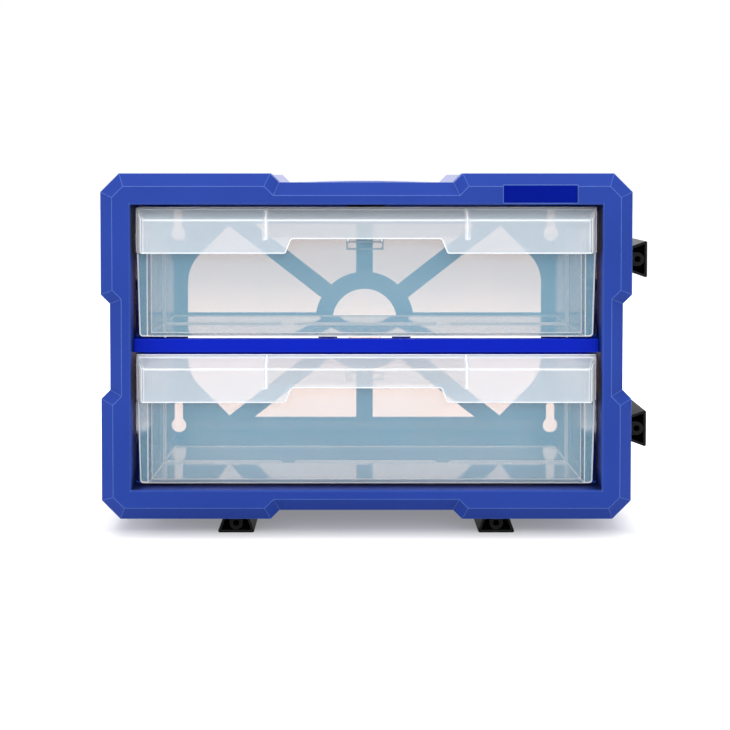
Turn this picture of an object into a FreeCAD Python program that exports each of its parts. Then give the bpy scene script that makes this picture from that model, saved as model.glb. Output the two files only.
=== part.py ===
import FreeCAD, Part
import math
import os
import re

import Sketcher

# Small parts organizer: a blue cabinet with two see-through drawers.
# Every body is drawn in its own frame: x across from the cabinet's middle, y back from the front
# face, z up from the middle of the front frame. Its placement puts it in the part's frame, where
# z = 0 is the surface that it stands on and x = y = 0 the middle of the whole outline.

doc = FreeCAD.newDocument("parts_organizer")
sheet = doc.addObject("Spreadsheet::Sheet", "Sizes")

SIZES = [
    ("frame_width", "320", "front frame, across"),
    ("frame_height", "209", "front frame, up"),
    ("cabinet_depth", "160", "front face to back face"),
    ("frame_depth", "20", "front frame, front to back"),
    ("band_width", "18.8", "outline to drawer opening"),
    ("bevel_width", "7.8", "bevel, seen from the front"),
    ("bevel_depth", "6", "bevel, front to back"),
    ("corner_cut", "11.2", "cut corners of the outline"),
    ("notch_depth", "5.4", "shallow notch in each side of the outline"),
    ("side_shoulder", "78.5", "end of the frame to the floor of the notch, left and right"),
    ("top_shoulder", "107.5", "side of the frame to the floor of the notch, top and bottom"),
    ("frame_wall", "2.4", "moulded wall of the front frame"),
    ("opening_round", "1", "rounded front edge of the drawer opening"),
    ("label_width", "44.4", "label plate, across"),
    ("label_height", "10.6", "label plate, up"),
    ("label_inset", "56", "middle of the label plate from the side of the frame"),
    ("label_drop", "12.4", "middle of the label plate below the top of the frame"),
    ("label_recess", "1.4", "depth of the label recess"),
    ("label_thickness", "0.8", "label plate"),
    ("casing_inset", "0.8", "casing inside the outline of the frame"),
    ("skin", "2.4", "casing wall"),
    ("crown", "1.4", "rise of the casing's top between its shoulders"),
    ("side_key_inset", "52.5", "dovetail keys of a side from its top and bottom"),
    ("base_key_inset", "80", "dovetail keys of the top and bottom from the sides"),
    ("key_waist", "14.2", "dovetail key at its middle"),
    ("key_width", "23", "dovetail key at its outer face"),
    ("key_reach", "11.9", "dovetail key, middle to outer face"),
    ("key_length", "125", "dovetail key, front to back"),
    ("key_wall", "1.5", "outer wall of the dovetail key"),
    ("key_web", "2.4", "web in the middle of the dovetail key"),
    ("key_round", "1", "rounded outer edges of the dovetail key"),
    ("boss_radius", "4", "boss in each half of the key"),
    ("boss_hole_radius", "2", "hole in that boss"),
    ("groove_clearance", "0.3", "dovetail key in its groove"),
    ("groove_wall", "2.2", "wall round the groove"),
    ("screw_hole_radius", "1.8", "clearance hole for a back panel screw"),
    ("screw_radius", "1.3", "shank of the screw"),
    ("screw_length", "14", "screw, overall"),
    ("screw_head_radius", "3.3", "countersunk head"),
    ("post_radius", "3.6", "screw post in the casing"),
    ("post_length", "30", "screw post"),
    ("side_post_inset", "28.5", "screw posts of a side from its top and bottom"),
    ("base_post_inset", "45", "screw posts of the top and bottom from the sides"),
    ("tab_width", "16", "locating tab of the front frame"),
    ("tab_length", "8", "locating tab behind the frame"),
    ("tab_thickness", "1.8", "locating tab"),
    ("tab_clearance", "0.1", "locating tab to the casing"),
    ("rail_height", "8", "middle rail"),
    ("rail_recess", "12", "middle rail behind the front face"),
    ("rail_depth", "6", "middle rail, front to back"),
    ("ear_depth", "4", "ears of the middle rail behind the frame"),
    ("ear_root", "6", "thicker ends of the middle rail, across"),
    ("rail_wall", "2", "wall of the middle rail"),
    ("lip_inset", "6", "stop lip of the middle rail short of its ends"),
    ("rail_clearance", "0.2", "ends of the middle rail"),
    ("stop_width", "24", "drawer stop"),
    ("stop_drop", "4", "drawer stop below its rail"),
    ("stop_thickness", "2.5", "drawer stop"),
    ("runner_ledge", "10", "ledge of a runner inside its guide rib"),
    ("runner_thickness", "2", "runner"),
    ("runner_rise", "4", "guide rib of a runner"),
    ("guide_clearance", "1", "drawer box to guide rib"),
    ("slide_clearance", "0.3", "drawer box above its runner"),
    ("drawer_gap", "1.4", "drawer front to the opening"),
    ("plate_recess", "12", "drawer's front plate behind the front face"),
    ("plate_thickness", "2.4", "drawer's front plate"),
    ("plate_taper", "2", "front plate narrower at its foot, each side"),
    ("plate_round", "2.2", "lower corners of the front plate"),
    ("tray_inset", "6.8", "drawer box narrower than its front plate, each side"),
    ("tray_draft", "1.2", "drawer box narrower at its back, each side"),
    ("tray_back", "121", "back of the drawer box from the front face"),
    ("tray_wall", "1.8", "walls and floor of the drawer box"),
    ("tray_drop", "6", "drawer box lower than its front plate"),
    ("tray_round", "4", "back corners of the drawer box"),
    ("slot_width", "2.6", "slot for a divider"),
    ("rib_width", "1.2", "ribs that hold a divider"),
    ("rib_rise", "1.5", "how far those ribs stand out"),
    ("rib_gap", "9", "gap in the floor rib for a lengthwise divider"),
    ("rib_gap_centre", "50", "those gaps from the middle"),
    ("rib_top", "8", "divider ribs below the rim"),
    ("tongue_width", "22", "stop tongue of the drawer's back"),
    ("tongue_slit", "1.2", "slit at each side of the tongue"),
    ("tongue_root", "26.4", "foot of the tongue below the top of the front plate"),
    ("tongue_block", "4.9", "thicker foot of the tongue, up"),
    ("tongue_step", "1.2", "thicker foot of the tongue, back"),
    ("tongue_gap", "0.6", "tip of the tongue below the top of the front plate"),
    ("hood_height", "28", "drawer pull, up"),
    ("hood_reach", "11", "drawer pull in front of the plate"),
    ("hood_drop", "7", "fall of its top towards the front"),
    ("hood_draw_in", "4.7", "its ends draw in towards the front"),
    ("hood_wall", "1.6", "wall of the drawer pull"),
    ("hood_round", "1.5", "rounded edges of the drawer pull"),
    ("finger_width", "90", "raised part of its lower edge"),
    ("finger_flare", "3.5", "slope at each end of the raised part"),
    ("finger_rise", "8.8", "how far that part is raised"),
    ("finger_round", "2", "rounded corners of the raised part"),
    ("gusset_centre", "60.7", "gussets of the drawer pull from the middle"),
    ("gusset_thickness", "1.8", "gusset"),
    ("panel_thickness", "2.4", "back panel"),
    ("ring_inner", "22.8", "inner radius of the lattice ring"),
    ("ring_outer", "34.9", "outer radius of the lattice ring"),
    ("spoke_width", "11.7", "spokes of the lattice"),
    ("spoke_angle", "38", "slanting spokes above the level ones, in degrees"),
    ("window_level_margin", "35.6", "windows from the top and bottom of the frame"),
    ("window_side_margin", "34.5", "windows from the sides of the frame"),
    ("window_corner", "30.2", "corner cut off the outer windows"),
    ("window_round", "28", "rounded shoulder of the outer windows"),
    ("keyhole_inset", "27.7", "keyholes from the sides of the frame"),
    ("keyhole_drop", "42.2", "upper keyholes below the top of the frame"),
    ("keyhole_rise", "29.9", "lower keyholes above the bottom of the frame"),
    ("keyhole_radius", "5.3", "round entry of a keyhole"),
    ("keyhole_slot", "6", "width of its slot"),
    ("keyhole_run", "14", "middle of the entry to the middle of the slot's round end"),
]

for row, (alias, number, note) in enumerate(SIZES, start=1):
    sheet.set(f"A{row}", alias)
    sheet.set(f"B{row}", number)
    sheet.setAlias(f"B{row}", alias)
    sheet.set(f"C{row}", note)
doc.recompute()

ALIASES = {alias for alias, number, note in SIZES}
MITRE = f"{math.tan(math.pi / 8):.7f}"
WORD = re.compile(r"[a-z][a-z_]*")


def formula(text):
    """The text with each size's name pointed at the sheet."""
    return WORD.sub(lambda word: "Sizes." + word.group() if word.group() in ALIASES else word.group(), text)


def number(text):
    """What a formula of sizes comes to."""
    return float(sheet.evalExpression(formula(text)))


def bind(thing, prop, text):
    thing.setExpression(prop, formula(text))


# Places that more than one piece is drawn from

HALF_WIDTH = "frame_width / 2"
HALF_HEIGHT = "frame_height / 2"
OPENING_X = "(frame_width / 2 - band_width)"
OPENING_Z = "(frame_height / 2 - band_width)"
PLATE_X = "(frame_width / 2 - band_width - drawer_gap)"
TRAY_X = "(frame_width / 2 - band_width - drawer_gap - tray_inset)"
BAY = "(frame_height / 2 - band_width - rail_height / 2)"
PLATE_TOP = "((frame_height / 2 - band_width - rail_height / 2) / 2 - drawer_gap)"
DRAWER_Z = "(rail_height / 2 + (frame_height / 2 - band_width - rail_height / 2) / 2)"
CASING_BACK = "(cabinet_depth - panel_thickness)"
CASING_LENGTH = "(cabinet_depth - panel_thickness - frame_depth)"
CASING_INNER = "(casing_inset + skin)"
SIDE_KEY = "(frame_height / 2 - side_key_inset)"
BASE_KEY = "(frame_width / 2 - base_key_inset)"
SIDE_POST = "(frame_height / 2 - side_post_inset)"
BASE_POST = "(frame_width / 2 - base_post_inset)"
KEY_FLARE = "((key_width - key_waist) / 2 / key_reach)"
GROOVE_FLOOR = "(key_reach + groove_clearance)"
WINDOW_X = "(frame_width / 2 - window_side_margin)"
WINDOW_Z = "(frame_height / 2 - window_level_margin)"
WINDOW_CUT = "(frame_width / 2 - window_side_margin + frame_height / 2 - window_level_margin - window_corner)"
POST_IN = "(casing_inset + skin + post_radius - 1)"
STOP_FRONT = "(frame_depth - stop_thickness)"
PULL_FRONT = "(plate_recess - hood_reach)"


def place(thing, across="0", back="0", up="0"):
    """Put a piece's own frame in the part's frame, moved by these formulas."""
    bind(thing, "Placement.Base.x", f"{across} - key_reach / 2")
    bind(thing, "Placement.Base.y", f"{back} - cabinet_depth / 2")
    bind(thing, "Placement.Base.z", f"{up} + key_reach + frame_height / 2")


def new_body(name, across="0", back="0", up="0"):
    body = doc.addObject("PartDesign::Body", name)
    body.Label = name
    place(body, across, back, up)
    return body


def new_sketch(body, plane, offset):
    """A sketch on one of the body's own planes: XZ offsets go back, XY up and YZ across."""
    sketch = body.newObject("Sketcher::SketchObject", f"{body.Name}_sketch")
    support = [item for item in body.Origin.OriginFeatures if item.Role == plane][0]
    sketch.AttachmentSupport = [(support, "")]
    sketch.MapMode = "FlatFace"
    sign = "-" if plane == "XZ_Plane" else ""
    bind(sketch, "AttachmentOffset.Base.z", f"{sign}({offset})")
    return sketch


def pin_point(sketch, geometry, point, across, up):
    """Tie a point to the sketch's origin by two bound distances."""
    for kind, text in (("DistanceX", across), ("DistanceY", up)):
        tie = Sketcher.Constraint(kind, -1, 1, geometry, point, number(text))
        bind(sketch, f"Constraints[{sketch.addConstraint(tie)}]", text)


def add_loop(sketch, corners):
    """A closed loop of straight lines through corners that are pairs of formulas."""
    spots = [FreeCAD.Vector(number(across), number(up), 0) for across, up in corners]
    first = sketch.GeometryCount
    count = len(corners)
    for index in range(count):
        sketch.addGeometry(Part.LineSegment(spots[index], spots[(index + 1) % count]))
    for index in range(count):
        follower = first + (index + 1) % count
        sketch.addConstraint(Sketcher.Constraint("Coincident", first + index, 2, follower, 1))
    for index, (across, up) in enumerate(corners):
        pin_point(sketch, first + index, 1, across, up)


def add_rectangle(sketch, left, right, low, high):
    add_loop(sketch, [(left, low), (right, low), (right, high), (left, high)])


def add_disc(sketch, across, up, radius):
    centre = FreeCAD.Vector(number(across), number(up), 0)
    index = sketch.addGeometry(Part.Circle(centre, FreeCAD.Vector(0, 0, 1), number(radius)))
    pin_point(sketch, index, 3, across, up)
    tie = sketch.addConstraint(Sketcher.Constraint("Radius", index, number(radius)))
    bind(sketch, f"Constraints[{tie}]", radius)


def add_cap(sketch, half_chord, chord_up, rise):
    """A level chord with a shallow arc over it."""
    half, level, high = number(half_chord), number(chord_up), number(rise)
    left = FreeCAD.Vector(-half, level, 0)
    right = FreeCAD.Vector(half, level, 0)
    top = FreeCAD.Vector(0, level + high, 0)
    chord = sketch.addGeometry(Part.LineSegment(left, right))
    arc = sketch.addGeometry(Part.Arc(right, top, left))
    sketch.addConstraint(Sketcher.Constraint("Coincident", chord, 2, arc, 1))
    sketch.addConstraint(Sketcher.Constraint("Coincident", chord, 1, arc, 2))
    pin_point(sketch, chord, 1, f"-({half_chord})", chord_up)
    pin_point(sketch, chord, 2, half_chord, chord_up)
    radius = f"(({half_chord}) * ({half_chord}) + ({rise}) * ({rise})) / 2 / ({rise})"
    tie = sketch.addConstraint(Sketcher.Constraint("Radius", arc, number(radius)))
    bind(sketch, f"Constraints[{tie}]", radius)


def pad(body, sketch, length, against=False):
    """Add the sketch's area: back from an XZ sketch, up from XY, across from YZ."""
    feature = body.newObject("PartDesign::Pad", f"{body.Name}_pad")
    feature.Profile = sketch
    back = sketch.AttachmentSupport[0][0].Role == "XZ_Plane"
    feature.Reversed = back != against
    bind(feature, "Length", length)
    body.Tip = feature
    doc.recompute()
    return feature


def pocket(body, sketch, length, against=False):
    """Cut the sketch's area: back from an XZ sketch, up from XY, or the other way."""
    before = body.Shape.Volume
    feature = body.newObject("PartDesign::Pocket", f"{body.Name}_pocket")
    feature.Profile = sketch
    back = sketch.AttachmentSupport[0][0].Role == "XZ_Plane"
    feature.Reversed = back == against
    bind(feature, "Length", length)
    body.Tip = feature
    doc.recompute()
    if body.Shape.Volume > before - 0.01:
        raise ValueError(f"{feature.Name} cuts nothing")
    return feature


def loft(body, kind, first, last):
    feature = body.newObject(f"PartDesign::{kind}", f"{body.Name}_loft")
    feature.Profile = first
    feature.Sections = [last]
    feature.Ruled = True
    body.Tip = feature
    doc.recompute()
    return feature


def round_edges(body, radius, wanted):
    """Fillet the edges whose two ends both satisfy the test."""
    base = body.Tip
    names = []
    for index, edge in enumerate(base.Shape.Edges, start=1):
        if len(edge.Vertexes) == 2 and wanted(edge.Vertexes[0].Point, edge.Vertexes[1].Point):
            names.append(f"Edge{index}")
    feature = body.newObject("PartDesign::Fillet", f"{body.Name}_fillet")
    feature.Base = (base, names)
    bind(feature, "Radius", radius)
    body.Tip = feature
    doc.recompute()
    return feature


def near(value, text):
    return abs(value - number(text)) < 0.01


# The outline that the front frame, the casing and the back panel share


def outline_marks(inset):
    """Where the outline, drawn in by the inset, has its corners in one quarter."""
    mitre = f"{MITRE} * ({inset})"
    return {
        "far_x": f"(frame_width / 2 - ({inset}))",
        "far_z": f"(frame_height / 2 - ({inset}))",
        "floor_x": f"(frame_width / 2 - notch_depth - ({inset}))",
        "floor_z": f"(frame_height / 2 - notch_depth - ({inset}))",
        "corner_x": f"(frame_width / 2 - corner_cut - {mitre})",
        "corner_z": f"(frame_height / 2 - corner_cut - {mitre})",
        "foot_x": f"(frame_width / 2 - top_shoulder + {mitre})",
        "foot_z": f"(frame_height / 2 - side_shoulder + {mitre})",
        "edge_x": f"(frame_width / 2 - top_shoulder + notch_depth + {mitre})",
        "edge_z": f"(frame_height / 2 - side_shoulder + notch_depth + {mitre})",
    }


def side_line(inset, sign):
    """The right or left part of the outline, from its lower to its upper corner."""
    mark = outline_marks(inset)
    upper = [
        (mark["floor_x"], mark["foot_z"]),
        (mark["far_x"], mark["edge_z"]),
        (mark["far_x"], mark["corner_z"]),
        (mark["corner_x"], mark["far_z"]),
    ]
    lower = [(across, f"-{up}") for across, up in reversed(upper)]
    return [(f"{sign}{across}", up) for across, up in lower + upper]


def level_line(inset, sign):
    """The top or bottom part of the outline, from its left to its right corner."""
    mark = outline_marks(inset)
    right = [
        (mark["foot_x"], mark["floor_z"]),
        (mark["edge_x"], mark["far_z"]),
        (mark["corner_x"], mark["far_z"]),
    ]
    left = [(f"-{across}", up) for across, up in reversed(right)]
    return [(across, f"{sign}{up}") for across, up in left + right]


def outline(inset):
    """The whole outline: up the right side, back over the top, down the left side, along below."""
    right = side_line(inset, "")
    left = list(reversed(side_line(inset, "-")))
    top = list(reversed(level_line(inset, "")))
    bottom = level_line(inset, "-")
    return right + top[1:-1] + left + bottom[1:-1]


def turned(points, side):
    """Points drawn as (inward, along) turned to face one side of the cabinet."""
    turns = {
        "right": lambda inward, along: (f"{HALF_WIDTH} - ({inward})", along),
        "left": lambda inward, along: (f"({inward}) - {HALF_WIDTH}", along),
        "top": lambda inward, along: (along, f"{HALF_HEIGHT} - ({inward})"),
        "bottom": lambda inward, along: (along, f"({inward}) - {HALF_HEIGHT}"),
    }
    return [turns[side](inward, along) for inward, along in points]


def key_centres(side):
    upright = side in ("right", "left")
    return [f"{sign}{SIDE_KEY}" if upright else f"{sign}{BASE_KEY}" for sign in ("", "-")]


def post_centres(side):
    upright = side in ("right", "left")
    return [f"{sign}{SIDE_POST}" if upright else f"{sign}{BASE_POST}" for sign in ("", "-")]


def add_dovetails(sketch, side, outer, inner, extra):
    """A dovetail at each key of one side, wider by the extra on both flanks."""
    for centre in key_centres(side):
        corners = []
        for inward, sign in ((outer, "-"), (inner, "-"), (inner, "+"), (outer, "+")):
            half = f"(key_waist / 2 + {KEY_FLARE} * ({inward}) + {extra})"
            corners.append((inward, f"{centre} {sign} {half}"))
        add_loop(sketch, turned(corners, side))


def make_front_frame():
    body = new_body("front_frame")
    front = new_sketch(body, "XZ_Plane", "0")
    add_loop(front, outline("bevel_width"))
    shoulder = new_sketch(body, "XZ_Plane", "bevel_depth")
    add_loop(shoulder, outline("0"))
    loft(body, "AdditiveLoft", shoulder, front)
    band = new_sketch(body, "XZ_Plane", "bevel_depth")
    add_loop(band, outline("0"))
    pad(body, band, "frame_depth - bevel_depth")
    opening = new_sketch(body, "XZ_Plane", "0")
    add_rectangle(opening, f"-{OPENING_X}", OPENING_X, f"-{OPENING_Z}", OPENING_Z)
    pocket(body, opening, "frame_depth")
    hollow = new_sketch(body, "XZ_Plane", "frame_depth")
    add_loop(hollow, outline("frame_wall"))
    wall_x = f"({OPENING_X} + frame_wall)"
    wall_z = f"({OPENING_Z} + frame_wall)"
    add_rectangle(hollow, f"-{wall_x}", wall_x, f"-{wall_z}", wall_z)
    pocket(body, hollow, "frame_depth - bevel_depth - frame_wall", against=True)
    recess = new_sketch(body, "XZ_Plane", "0")
    add_label(recess)
    pocket(body, recess, "label_recess")
    add_frame_tabs(body)
    stop = new_sketch(body, "XZ_Plane", STOP_FRONT)
    add_rectangle(stop, "-stop_width / 2", "stop_width / 2", f"{OPENING_Z} - stop_drop", OPENING_Z)
    pad(body, stop, "stop_thickness")
    round_edges(
        body,
        "opening_round",
        lambda start, end: near(start.y, "0")
        and near(end.y, "0")
        and all(abs(point.x) < number(OPENING_X) + 0.01 for point in (start, end))
        and all(abs(point.z) < number(OPENING_Z) + 0.01 for point in (start, end)),
    )
    return body


def add_label(sketch):
    half_across = "label_width / 2"
    middle = "(frame_height / 2 - label_drop)"
    add_rectangle(
        sketch,
        f"frame_width / 2 - label_inset - {half_across}",
        f"frame_width / 2 - label_inset + {half_across}",
        f"{middle} - label_height / 2",
        f"{middle} + label_height / 2",
    )


def add_frame_tabs(body):
    """Tabs behind the frame that enter the casing at its top and bottom, on blocks inside the wall."""
    outer = f"({CASING_INNER} + tab_clearance)"
    inner = f"({CASING_INNER} + tab_clearance + tab_thickness)"
    blocks = new_sketch(body, "XZ_Plane", "frame_depth - tab_length")
    tabs = new_sketch(body, "XZ_Plane", "frame_depth")
    for side in ("top", "bottom"):
        for centre in post_centres(side):
            low = f"{centre} - tab_width / 2"
            high = f"{centre} + tab_width / 2"
            for sketch, start in ((blocks, "frame_wall / 2"), (tabs, outer)):
                corners = [(start, low), (inner, low), (inner, high), (start, high)]
                add_loop(sketch, turned(corners, side))
    pad(body, blocks, "tab_length")
    pad(body, tabs, "tab_length")


def make_label_plate():
    body = new_body("label_plate")
    plate = new_sketch(body, "XZ_Plane", "label_recess - label_thickness")
    add_label(plate)
    pad(body, plate, "label_thickness")
    return body


def make_panel(side):
    """One wall of the casing: a folded skin with two dovetail grooves and two screw posts."""
    body = new_body(f"{side}_panel")
    line = {
        "right": lambda inset: side_line(inset, ""),
        "left": lambda inset: side_line(inset, "-"),
        "top": lambda inset: level_line(inset, ""),
        "bottom": lambda inset: level_line(inset, "-"),
    }[side]
    skin = new_sketch(body, "XZ_Plane", "frame_depth")
    add_loop(skin, line("casing_inset") + list(reversed(line(CASING_INNER))))
    pad(body, skin, CASING_LENGTH)
    if side == "top":
        mark = outline_marks("casing_inset")
        crown = new_sketch(body, "XZ_Plane", "frame_depth")
        add_cap(crown, mark["foot_x"], mark["floor_z"], "crown")
        pad(body, crown, CASING_LENGTH)
    walls = new_sketch(body, "XZ_Plane", "frame_depth")
    add_dovetails(walls, side, "casing_inset + skin / 2", f"{GROOVE_FLOOR} + groove_wall", "groove_wall")
    pad(body, walls, CASING_LENGTH)
    posts = new_sketch(body, "XZ_Plane", f"{CASING_BACK} - post_length")
    holes = new_sketch(body, "XZ_Plane", f"{CASING_BACK} - post_length")
    for centre in post_centres(side):
        [(across, up)] = turned([(POST_IN, centre)], side)
        add_disc(posts, across, up, "post_radius")
        add_disc(holes, across, up, "screw_radius")
    pad(body, posts, "post_length")
    pocket(body, holes, "post_length")
    grooves = new_sketch(body, "XZ_Plane", "frame_depth")
    add_dovetails(grooves, side, "0", GROOVE_FLOOR, "groove_clearance")
    pocket(body, grooves, CASING_LENGTH)
    return body


def make_back_panel():
    body = new_body("back_panel")
    plate = new_sketch(body, "XZ_Plane", CASING_BACK)
    add_loop(plate, outline("casing_inset"))
    pad(body, plate, "panel_thickness")
    grooves = new_sketch(body, "XZ_Plane", CASING_BACK)
    for side in ("right", "left", "top", "bottom"):
        add_dovetails(grooves, side, "0", GROOVE_FLOOR, "groove_clearance")
    pocket(body, grooves, "panel_thickness")
    add_lattice(body)
    add_keyholes(body)
    add_screw_holes(body)
    return body


def add_lattice(body):
    """Windows between the spokes, then the ring across the spokes."""
    half = "(spoke_width / 2)"
    slope = "tan(spoke_angle)"
    lift = "(spoke_width / 2 / cos(spoke_angle))"
    tall = [
        (half, f"{half} * {slope} + {lift}"),
        (half, WINDOW_Z),
        (f"({WINDOW_Z} - {lift}) / {slope}", WINDOW_Z),
    ]
    tip = f"(({WINDOW_CUT} + {lift}) / (1 + {slope}))"
    wide = [
        (f"({half} + {lift}) / {slope}", half),
        (tip, f"{WINDOW_CUT} - {tip}"),
        (WINDOW_X, f"{WINDOW_CUT} - {WINDOW_X}"),
        (WINDOW_X, half),
    ]
    windows = new_sketch(body, "XZ_Plane", CASING_BACK)
    for across_sign in ("", "-"):
        for up_sign in ("", "-"):
            for corners in (tall, wide):
                add_loop(windows, [(f"{across_sign}({a})", f"{up_sign}({u})") for a, u in corners])
    pocket(body, windows, "panel_thickness")
    round_edges(
        body,
        "window_round",
        lambda start, end: all(
            near(abs(point.x), WINDOW_X) and near(abs(point.z), f"{WINDOW_CUT} - {WINDOW_X}")
            for point in (start, end)
        ),
    )
    ring = new_sketch(body, "XZ_Plane", CASING_BACK)
    add_disc(ring, "0", "0", "ring_outer")
    pad(body, ring, "panel_thickness")
    middle = new_sketch(body, "XZ_Plane", CASING_BACK)
    add_disc(middle, "0", "0", "ring_inner")
    pocket(body, middle, "panel_thickness")


def add_keyholes(body):
    """Four round entries, each with a slot going up from it."""
    for entry in ("frame_height / 2 - keyhole_drop", "keyhole_rise - frame_height / 2"):
        for sign in ("", "-"):
            across = f"{sign}(frame_width / 2 - keyhole_inset)"
            rounds = new_sketch(body, "XZ_Plane", CASING_BACK)
            add_disc(rounds, across, entry, "keyhole_radius")
            add_disc(rounds, across, f"{entry} + keyhole_run", "keyhole_slot / 2")
            pocket(body, rounds, "panel_thickness")
            slot = new_sketch(body, "XZ_Plane", CASING_BACK)
            left = f"{across} - keyhole_slot / 2"
            right = f"{across} + keyhole_slot / 2"
            add_rectangle(slot, left, right, entry, f"{entry} + keyhole_run")
            pocket(body, slot, "panel_thickness")


def screw_spots():
    for side in ("right", "left", "top", "bottom"):
        for centre in post_centres(side):
            yield turned([(POST_IN, centre)], side)[0]


def add_screw_holes(body):
    spots = new_sketch(body, "XZ_Plane", "cabinet_depth")
    for across, up in screw_spots():
        add_disc(spots, across, up, "screw_hole_radius")
    doc.recompute()
    before = body.Shape.Volume
    hole = body.newObject("PartDesign::Hole", "back_panel_holes")
    hole.Profile = spots
    hole.DepthType = "ThroughAll"
    hole.Reversed = True
    bind(hole, "Diameter", "screw_hole_radius * 2")
    hole.HoleCutType = "Countersink"
    hole.HoleCutCustomValues = True
    bind(hole, "HoleCutDiameter", "screw_head_radius * 2 + 0.1")
    hole.HoleCutCountersinkAngle = 90
    body.Tip = hole
    doc.recompute()
    if body.Shape.Volume > before - 1:
        raise ValueError("the screw holes cut nothing")


def make_screws():
    """Countersunk screws with a cross recess, one at each post, flush with the back."""
    screws = []
    for index, (across, up) in enumerate(screw_spots(), start=1):
        shank = doc.addObject("Part::Cylinder", f"screw_shank_{index}")
        bind(shank, "Radius", "screw_radius")
        bind(shank, "Height", "screw_length")
        head = doc.addObject("Part::Cone", f"screw_head_{index}")
        bind(head, "Radius1", "screw_head_radius")
        bind(head, "Radius2", "screw_radius")
        bind(head, "Height", "screw_head_radius - screw_radius")
        solid = doc.addObject("Part::Fuse", f"screw_solid_{index}")
        solid.Base = shank
        solid.Tool = head
        bars = []
        for number_of_bar, (wide, tall) in enumerate((("3.2", "0.8"), ("0.8", "3.2")), start=1):
            bar = doc.addObject("Part::Box", f"screw_bar_{index}_{number_of_bar}")
            bind(bar, "Length", wide)
            bind(bar, "Width", tall)
            bar.Height = 2
            bind(bar, "Placement.Base.x", f"-{wide} / 2")
            bind(bar, "Placement.Base.y", f"-{tall} / 2")
            bar.Placement.Base.z = -1
            bars.append(bar)
        cross = doc.addObject("Part::Fuse", f"screw_cross_{index}")
        cross.Base, cross.Tool = bars
        screw = doc.addObject("Part::Cut", f"screw_{index}")
        screw.Base = solid
        screw.Tool = cross
        screw.Placement.Rotation = FreeCAD.Rotation(FreeCAD.Vector(1, 0, 0), 90)
        bind(screw, "Placement.Base.x", across)
        bind(screw, "Placement.Base.y", "cabinet_depth")
        bind(screw, "Placement.Base.z", up)
        screws.append(screw)
    group = doc.addObject("Part::Compound", "back_panel_screws")
    group.Label = "back_panel_screws"
    group.Links = screws
    place(group)
    return group


def make_middle_rail():
    """The bar between the drawers, with ears behind the frame and a lip that stops the lower drawer."""
    body = new_body("middle_rail")
    front_x = f"({OPENING_X} - rail_clearance)"
    ear_x = f"(frame_width / 2 - notch_depth - {CASING_INNER} - rail_clearance)"
    half = "rail_height / 2"
    bar = new_sketch(body, "XZ_Plane", "rail_recess")
    add_rectangle(bar, f"-{front_x}", front_x, f"-{half}", half)
    pad(body, bar, "rail_depth")
    hollow = new_sketch(body, "XZ_Plane", "rail_recess + rail_depth")
    inside_x = f"({front_x} - ear_root)"
    inside_z = "(rail_height / 2 - rail_wall)"
    add_rectangle(hollow, f"-{inside_x}", inside_x, f"-{inside_z}", inside_z)
    pocket(body, hollow, "rail_depth - rail_wall", against=True)
    roots = new_sketch(body, "XZ_Plane", "rail_recess")
    ears = new_sketch(body, "XZ_Plane", "frame_depth")
    for sign in ("", "-"):
        add_rectangle(roots, f"{sign}{inside_x}", f"{sign}{front_x}", f"-{half}", half)
        add_rectangle(ears, f"{sign}{inside_x}", f"{sign}{ear_x}", f"-{half}", half)
    pad(body, roots, "frame_depth - rail_recess + ear_depth")
    pad(body, ears, "ear_depth")
    lip_x = f"({front_x} - lip_inset)"
    stop = new_sketch(body, "XZ_Plane", "rail_recess + rail_depth - stop_thickness")
    add_rectangle(stop, f"-{lip_x}", lip_x, f"-{half} - stop_drop", f"-{half}")
    pad(body, stop, "stop_thickness")
    return body


def make_runner(level, side):
    """A ledge under one side of a drawer, with a guide rib beside it."""
    body = new_body(f"{level}_{side}_runner")
    sign = "-" if side == "left" else ""
    rib_x = f"{TRAY_X} + guide_clearance"
    inner = f"{rib_x} - runner_ledge"
    if level == "upper":
        front = "frame_depth + ear_depth"
        top = "rail_height / 2 + drawer_gap - slide_clearance"
        outer = f"frame_width / 2 - notch_depth - {CASING_INNER}"
        leg = (f"{outer} - runner_thickness", outer)
        foot = "-rail_height / 2"
    else:
        front = "frame_depth"
        top = f"drawer_gap - slide_clearance - {OPENING_Z}"
        outer = f"frame_width / 2 - {CASING_INNER}"
        leg = (rib_x, f"{rib_x} + runner_thickness")
        foot = f"{CASING_INNER} - {HALF_HEIGHT}"
    section = new_sketch(body, "XZ_Plane", front)
    corners = [
        (inner, f"{top} - runner_thickness"),
        (leg[0], f"{top} - runner_thickness"),
        (leg[0], foot),
        (leg[1], foot),
    ]
    if level == "lower":
        corners += [
            (leg[1], f"{top} - runner_thickness"),
            (outer, f"{top} - runner_thickness"),
        ]
    corners += [
        (outer, top),
        (f"{rib_x} + runner_thickness", top),
        (f"{rib_x} + runner_thickness", f"{top} + runner_rise"),
        (rib_x, f"{top} + runner_rise"),
        (rib_x, top),
        (inner, top),
    ]
    add_loop(section, [(f"{sign}({across})", up) for across, up in corners])
    pad(body, section, f"{CASING_BACK} - ({front})")
    return body


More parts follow.
